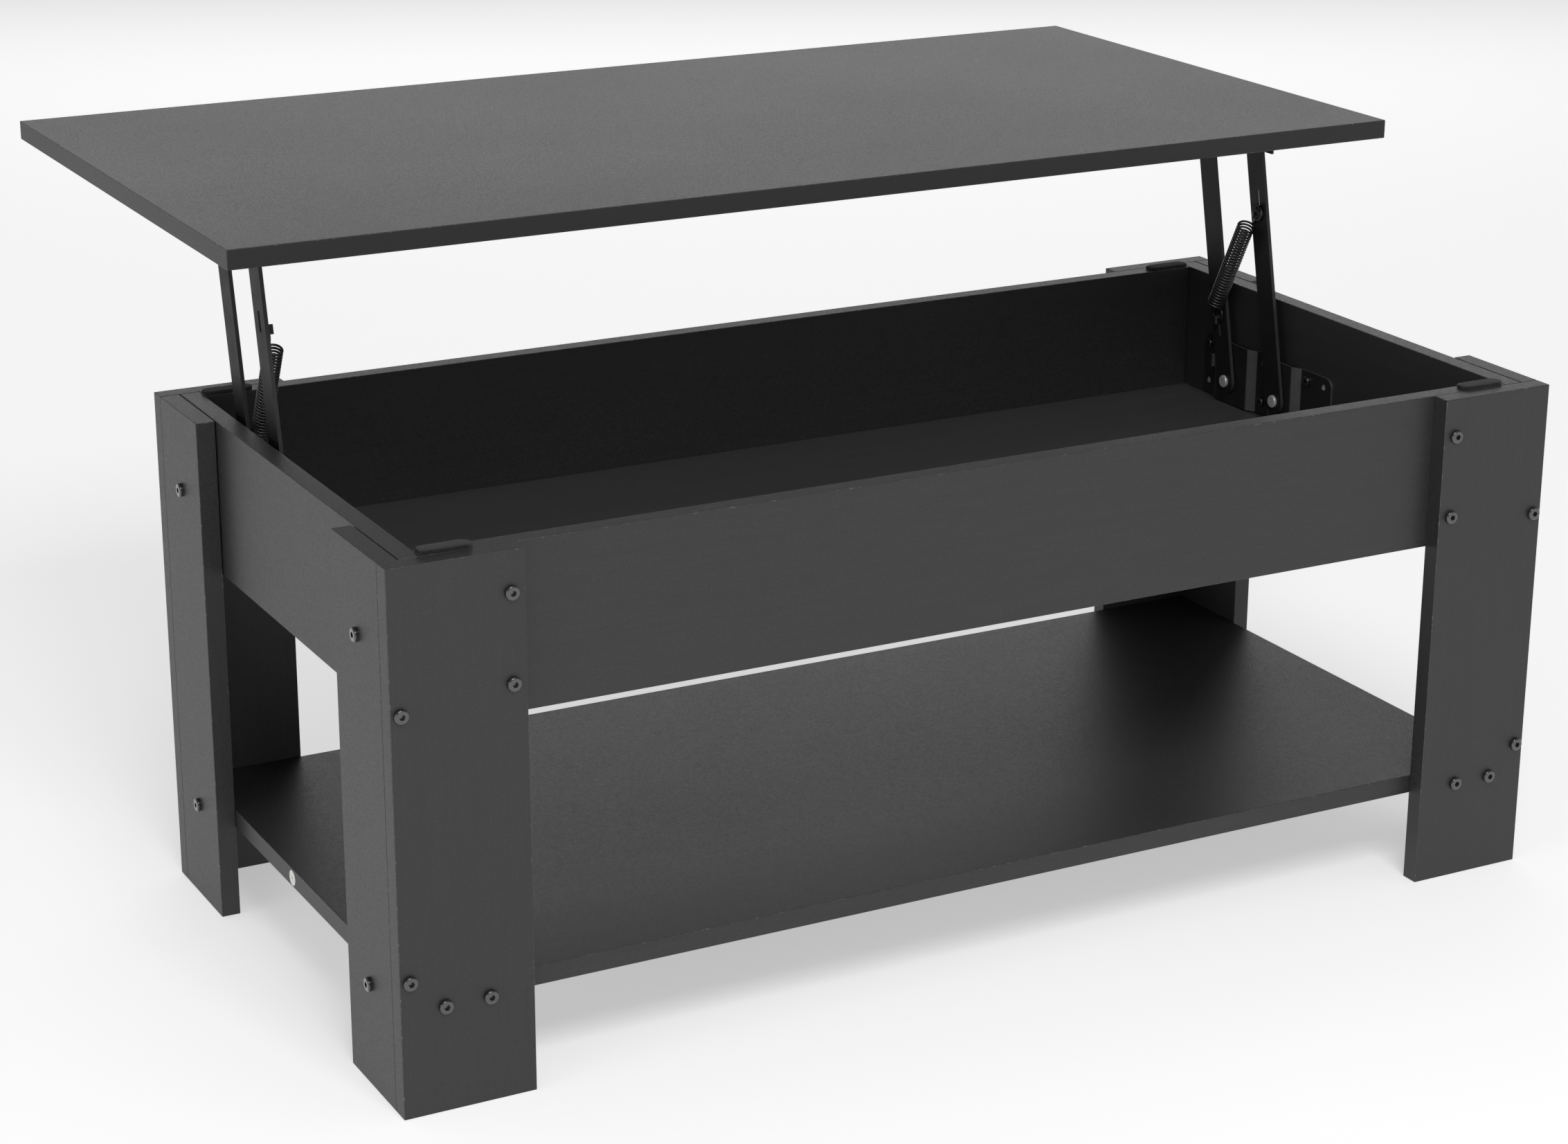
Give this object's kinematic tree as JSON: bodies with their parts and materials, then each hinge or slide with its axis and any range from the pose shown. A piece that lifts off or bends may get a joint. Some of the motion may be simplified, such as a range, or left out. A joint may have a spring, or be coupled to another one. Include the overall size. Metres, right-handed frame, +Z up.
{
  "type": "lift top coffee table",
  "caption": "Rectangular coffee table whose top rises and swings forward on spring-assisted arms over a storage box, with an open lower shelf.",
  "frame": {"origin": "on the floor, at the middle of the whole footprint with the top raised: the box and legs stand 135 mm nearer the seated side", "axes": "+X along the table to the right, +Y from the seated side to the far side, +Z up"},
  "size_m": [1, 0.7544, 0.5654],
  "materials": {
    "laminate_black": "satin",
    "lift_steel_black": "satin",
    "hardware_black": "gloss",
    "spring_black": "gloss",
    "rivet_steel": "satin",
    "zinc_insert": "satin",
    "beech_dowel": "matte",
    "felt_black": "matte",
    "label_white": "matte"
  },
  "bodies": {
    "frame": {"apron_bolts": "hardware_black", "apron_inserts": "zinc_insert", "leg_corner_bolts": "hardware_black", "leg_corner_inserts": "zinc_insert", "side_panel_bolts": "hardware_black", "side_panel_inserts": "zinc_insert", "shelf_edge_bolts": "hardware_black", "shelf_edge_inserts": "zinc_insert", "shelf_end_bolts": "hardware_black", "shelf_end_inserts": "zinc_insert", "floor_dowels": "beech_dowel", "felt_pads": "felt_black", "blank_label": "label_white", "right_base_bracket": "lift_steel_black", "left_base_bracket": "lift_steel_black", "bracket_screws": "hardware_black", "bracket_pins": "rivet_steel", "lower_rivets": "rivet_steel", "lower_washers": "rivet_steel", "front_left_leg_face": "laminate_black", "front_left_leg_side": "laminate_black", "rear_left_leg_face": "laminate_black", "rear_left_leg_side": "laminate_black", "front_right_leg_face": "laminate_black", "front_right_leg_side": "laminate_black", "rear_right_leg_face": "laminate_black", "rear_right_leg_side": "laminate_black", "front_apron": "laminate_black", "rear_apron": "laminate_black", "left_side_panel": "laminate_black", "right_side_panel": "laminate_black", "box_floor": "laminate_black", "shelf": "laminate_black"},
    "right_rear_arm": {"right_rear_arm": "lift_steel_black"},
    "right_front_arm": {"right_front_arm": "lift_steel_black"},
    "left_rear_arm": {"left_rear_arm": "lift_steel_black"},
    "left_front_arm": {"left_front_arm": "lift_steel_black"},
    "table_top": {"table_top": "laminate_black", "right_top_rail": "lift_steel_black", "left_top_rail": "lift_steel_black", "rail_screws": "hardware_black", "upper_rivets": "rivet_steel", "upper_washers": "rivet_steel"},
    "right_spring_coil": {"right_spring_coil": "spring_black"},
    "right_spring_eye": {"right_spring_upper_eye": "spring_black"},
    "left_spring_coil": {"left_spring_coil": "spring_black"},
    "left_spring_eye": {"left_spring_upper_eye": "spring_black"}
  },
  "joints": [
    {"name": "lift", "type": "hinge", "parent": "frame", "child": "right_rear_arm", "pos_m": [0.4445, -0.00084, 0.3173], "axis": [1, 0, 0], "range_deg": [0, 82.78]},
    {"name": "top_level", "type": "hinge", "parent": "right_rear_arm", "child": "table_top", "pos_m": [0.4445, 0.04573, 0.53641], "axis": [1, 0, 0], "range_deg": [-82.78, 0]},
    {"name": "right_front_arm_swing", "type": "hinge", "parent": "frame", "child": "right_front_arm", "pos_m": [0.4445, -0.07284, 0.3173], "axis": [1, 0, 0], "range_deg": [0, 82.78]},
    {"name": "left_rear_arm_swing", "type": "hinge", "parent": "frame", "child": "left_rear_arm", "pos_m": [-0.4445, -0.00084, 0.3173], "axis": [1, 0, 0], "range_deg": [0, 82.78]},
    {"name": "left_front_arm_swing", "type": "hinge", "parent": "frame", "child": "left_front_arm", "pos_m": [-0.4445, -0.07284, 0.3173], "axis": [1, 0, 0], "range_deg": [0, 82.78]},
    {"name": "right_spring_turn", "type": "hinge", "parent": "right_rear_arm", "child": "right_spring_coil", "pos_m": [0.43495, 0.01143, 0.37501], "axis": [1, 0, 0], "range_deg": [-31.05, 0]},
    {"name": "right_spring_stretch", "type": "slide", "parent": "right_spring_coil", "child": "right_spring_eye", "axis": [0, -0.4537, 0.8912], "range_m": [0, 0.05968], "deforming": ["right_spring_coil", "right_spring_upper_eye"]},
    {"name": "left_spring_turn", "type": "hinge", "parent": "left_rear_arm", "child": "left_spring_coil", "pos_m": [-0.43495, 0.01143, 0.37501], "axis": [1, 0, 0], "range_deg": [-31.05, 0]},
    {"name": "left_spring_stretch", "type": "slide", "parent": "left_spring_coil", "child": "left_spring_eye", "axis": [0, -0.4537, 0.8912], "range_m": [0, 0.05968], "deforming": ["left_spring_coil", "left_spring_upper_eye"]}
  ],
  "couplings": [
    {"joint": "top_level", "follows": "lift", "ratio": -1},
    {"joint": "right_front_arm_swing", "follows": "lift", "ratio": 1},
    {"joint": "left_rear_arm_swing", "follows": "lift", "ratio": 1},
    {"joint": "left_front_arm_swing", "follows": "lift", "ratio": 1},
    {"joint": "right_spring_turn", "follows": "lift", "ratio": -0.375},
    {"joint": "right_spring_stretch", "follows": "lift", "m_per_rad": 0.041305},
    {"joint": "left_spring_turn", "follows": "lift", "ratio": -0.375},
    {"joint": "left_spring_stretch", "follows": "lift", "m_per_rad": 0.041305}
  ]
}
